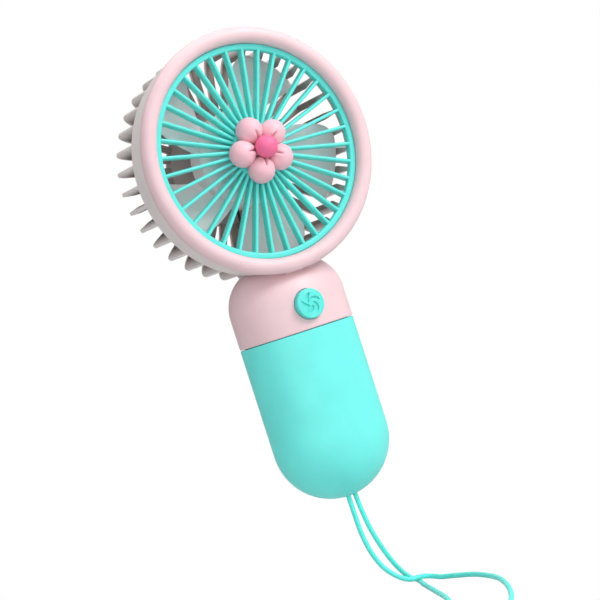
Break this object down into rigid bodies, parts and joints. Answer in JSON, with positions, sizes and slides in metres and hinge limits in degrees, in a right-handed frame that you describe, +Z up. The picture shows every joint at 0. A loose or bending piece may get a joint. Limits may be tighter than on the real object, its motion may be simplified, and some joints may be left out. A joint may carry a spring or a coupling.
{
  "type": "handheld electric fan",
  "caption": "Handheld electric fan with a round caged head, a flower badge on the front grille, an oval handle with a push button, and a looped wrist cord.",
  "frame": {"origin": "on the handle's axis, level with the seam between the upper and lower handle shells, where the hand closes on the grip", "axes": "+Z up the handle towards the head, -Y the way the fan blows, +X to the right seen from the front"},
  "size_m": [0.0892, 0.1376, 0.2103],
  "materials": {
    "pink_plastic": "satin",
    "grey_plastic": "satin",
    "aqua_plastic": "satin",
    "petal_plastic": "satin",
    "eye_plastic": "satin",
    "milky_plastic": "gloss",
    "steel": "satin",
    "dark_plastic": "matte",
    "magnet": "matte",
    "copper_winding": "satin",
    "brass": "satin",
    "red_wire": "satin",
    "black_wire": "satin",
    "white_plastic": "matte",
    "cell_wrap": "gloss",
    "foam": "matte",
    "board_green": "satin",
    "aqua_cord": "satin"
  },
  "bodies": {
    "body": {"main_shell": "pink_plastic", "lower_shell": "aqua_plastic", "front_grille": "aqua_plastic", "flower_petals": "petal_plastic", "flower_eye": "eye_plastic", "rear_cage": "grey_plastic", "rear_cap": "grey_plastic", "motor_can": "steel", "motor_end_cap": "dark_plastic", "motor_magnets": "magnet", "motor_brushes": "dark_plastic", "front_bushing": "brass", "rear_bushing": "brass", "motor_screws": "steel", "motor_wire_red": "red_wire", "motor_wire_black": "black_wire", "battery_cradle": "white_plastic", "battery_cell": "cell_wrap", "battery_foam": "foam", "battery_tabs": "steel", "battery_wire_red": "red_wire", "battery_wire_black": "black_wire", "circuit_board": "board_green", "switch_body": "dark_plastic", "usb_shell": "steel", "usb_insert": "dark_plastic", "control_chip": "dark_plastic", "inductor": "magnet", "board_screws": "steel", "cradle_screws": "steel", "cord_knot": "aqua_cord", "wrist_cord": "aqua_cord"},
    "rotor": {"impeller": "milky_plastic", "armature": "copper_winding", "commutator": "brass", "motor_shaft": "steel"},
    "button": {"button_cap": "aqua_plastic", "switch_plunger": "white_plastic"}
  },
  "joints": [
    {"name": "rotor_spin", "type": "hinge", "parent": "body", "child": "rotor", "pos_m": [0, 0, 0.0657], "axis": [0, -1, 0], "continuous": true},
    {"name": "button_press", "type": "slide", "parent": "body", "child": "button", "axis": [0, 1, 0], "range_m": [0, 0.0005], "stiffness_N_per_m": 2000, "springref_m": -0.0002}
  ]
}
